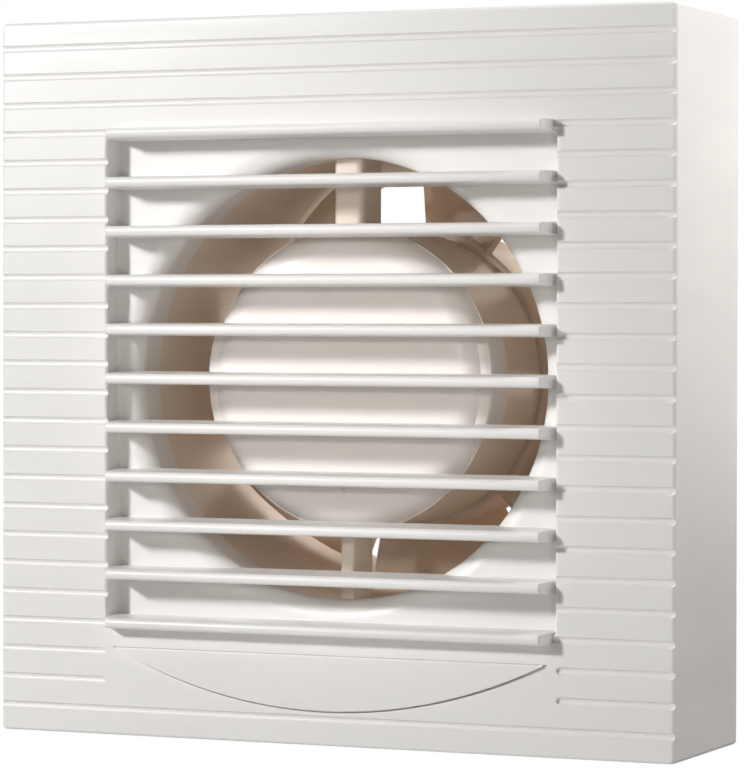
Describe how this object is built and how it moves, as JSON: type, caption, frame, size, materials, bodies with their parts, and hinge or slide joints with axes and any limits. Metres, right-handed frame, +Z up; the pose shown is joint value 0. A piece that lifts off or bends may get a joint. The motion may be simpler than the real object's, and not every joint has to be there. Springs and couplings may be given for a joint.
{
  "type": "bathroom extractor fan",
  "caption": "Square wall extractor fan: louvred front cover on a duct housing, with a shaded-pole motor in a cup held by struts and a bladed impeller behind it.",
  "frame": {"origin": "on the fan's axis, in the plane of the wall that the cover and the wall plate rest on", "axes": "+Y along the fan's axis, back through the wall and the way the air leaves; +Z up; +X to the right seen from the room; the louvred face is towards -Y"},
  "size_m": [0.15, 0.0795, 0.1488],
  "materials": {
    "cover_plastic": "smooth moulded ABS, satin gloss",
    "body_plastic": "moulded ABS, slightly translucent warm white",
    "cap_plastic": "smooth moulded ABS, satin gloss",
    "fan_plastic": "moulded ABS, warm white",
    "lamination": "stacked electrical steel sheet",
    "bobbin_nylon": "natural nylon",
    "enamel_wire": "enamelled copper winding",
    "copper": "bare copper bar",
    "zinc_steel": "zinc-plated steel",
    "bronze": "sintered bronze",
    "shaft_steel": "ground steel",
    "aluminium": "die-cast aluminium",
    "brass": "turned brass",
    "rubber": "black moulded rubber",
    "terminal_nylon": "natural nylon",
    "fibre": "brown fibre sheet",
    "lead_brown": "brown insulation",
    "lead_blue": "blue insulation"
  },
  "bodies": {
    "housing": {"housing": "body_plastic", "motor_cap": "cap_plastic", "stator_stack": "lamination", "shading_ring_right": "copper", "shading_ring_left": "copper", "coil_bobbin": "bobbin_nylon", "coil_winding": "enamel_wire", "front_bracket": "zinc_steel", "rear_bracket": "zinc_steel", "front_bearing": "bronze", "rear_bearing": "bronze", "motor_screw_left": "zinc_steel", "motor_screw_right": "zinc_steel", "rubber_mount_left": "rubber", "rubber_mount_right": "rubber", "terminal_block": "terminal_nylon", "terminal_insert_left": "brass", "terminal_insert_right": "brass", "terminal_screw_left_lower": "zinc_steel", "terminal_screw_left_upper": "zinc_steel", "terminal_screw_right_lower": "zinc_steel", "terminal_screw_right_upper": "zinc_steel", "cable_clamp": "terminal_nylon", "clamp_screw_left": "zinc_steel", "clamp_screw_right": "zinc_steel", "cable_grommet": "rubber", "motor_lead_neutral": "lead_blue", "motor_lead_live": "lead_brown"},
    "rotor": {"shaft": "shaft_steel", "rotor_core": "lamination", "rotor_ring_front": "aluminium", "rotor_ring_rear": "aluminium", "thrust_washer_front": "fibre", "thrust_washer_rear": "fibre", "impeller_nut": "brass", "impeller": "fan_plastic"},
    "cover": {"front_cover": "cover_plastic"}
  },
  "joints": [
    {"name": "impeller_spin", "type": "hinge", "parent": "housing", "child": "rotor", "pos_m": [0, 0, 0], "axis": [0, 1, 0], "continuous": true},
    {"name": "cover_removal", "type": "slide", "parent": "housing", "child": "cover", "axis": [0, -1, 0], "range_m": [0, 0.06]}
  ]
}
